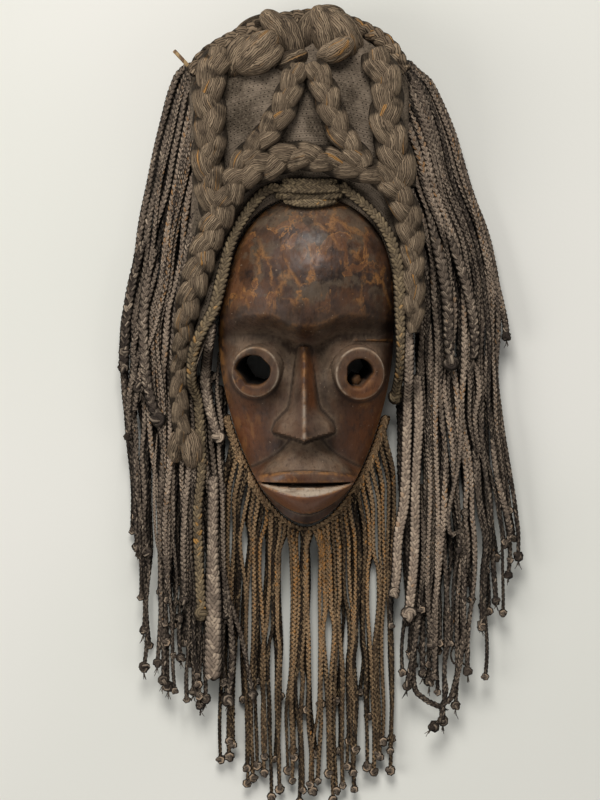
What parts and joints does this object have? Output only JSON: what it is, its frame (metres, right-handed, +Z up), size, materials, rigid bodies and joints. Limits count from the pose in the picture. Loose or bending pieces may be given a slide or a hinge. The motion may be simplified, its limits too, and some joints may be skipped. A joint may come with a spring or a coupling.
{
  "type": "carved wooden mask with plaited cotton cap and beard",
  "caption": "Carved dark wood race mask with tubular eyes, in a knitted cotton cap with thick plaits, hanging side braids and a braided beard.",
  "frame": {"origin": "middle of the mask's box in plan, on the ground that its back lies on", "axes": "+Z up out of the face, +Y towards the crown, +X to the viewer's right when looking at the face with the crown up"},
  "size_m": [0.3052, 0.6024, 0.0833],
  "materials": {
    "carved_wood": "dark brown patinated carved wood, satin, worn orange brown streaks",
    "knitted_cotton": "knitted cotton, matt grey brown",
    "plaited_cotton": "plaited cotton yarn, matt grey brown with ochre flecks",
    "side_braids": "thin plaited cotton braids, dark purple brown",
    "beard_braids": "thin plaited cotton braids, warm brown",
    "reed": "dry split reed"
  },
  "bodies": {
    "root": {"face": "carved_wood", "cap": "knitted_cotton", "crown_plait": "plaited_cotton", "left_bun": "plaited_cotton", "right_bun": "plaited_cotton", "left_outer_plait": "plaited_cotton", "right_outer_plait": "plaited_cotton", "left_vee_plait": "plaited_cotton", "right_vee_plait": "plaited_cotton", "arch_plait": "plaited_cotton", "left_rim_cord": "plaited_cotton", "right_rim_cord": "plaited_cotton", "left_inner_plait": "plaited_cotton", "right_inner_plait": "plaited_cotton", "right_side_plait": "plaited_cotton", "forelock": "plaited_cotton", "left_hair_mat": "side_braids", "right_hair_mat": "side_braids", "left_flat_plait": "side_braids", "left_braid_01": "side_braids", "left_braid_02": "side_braids", "left_braid_03": "side_braids", "left_braid_04": "side_braids", "left_braid_05": "side_braids", "left_braid_06": "side_braids", "left_braid_07": "side_braids", "left_braid_08": "side_braids", "left_braid_09": "side_braids", "left_braid_10": "side_braids", "left_braid_11": "side_braids", "right_braid_01": "side_braids", "right_braid_02": "side_braids", "right_braid_03": "side_braids", "right_braid_04": "side_braids", "right_braid_05": "side_braids", "right_braid_06": "side_braids", "right_braid_07": "side_braids", "right_braid_08": "side_braids", "right_braid_09": "side_braids", "right_braid_10": "side_braids", "jaw_cord": "beard_braids", "beard_braid_01": "beard_braids", "beard_braid_02": "beard_braids", "beard_braid_03": "beard_braids", "beard_braid_04": "beard_braids", "beard_braid_05": "beard_braids", "beard_braid_06": "beard_braids", "beard_braid_07": "beard_braids", "beard_braid_08": "beard_braids", "beard_braid_09": "beard_braids", "beard_braid_10": "beard_braids", "beard_braid_11": "beard_braids", "beard_braid_12": "beard_braids", "beard_braid_13": "beard_braids", "beard_braid_14": "beard_braids", "beard_braid_15": "beard_braids", "beard_braid_16": "beard_braids", "beard_braid_17": "beard_braids", "beard_braid_18": "beard_braids", "reed_stub": "reed"}
  },
  "joints": []
}
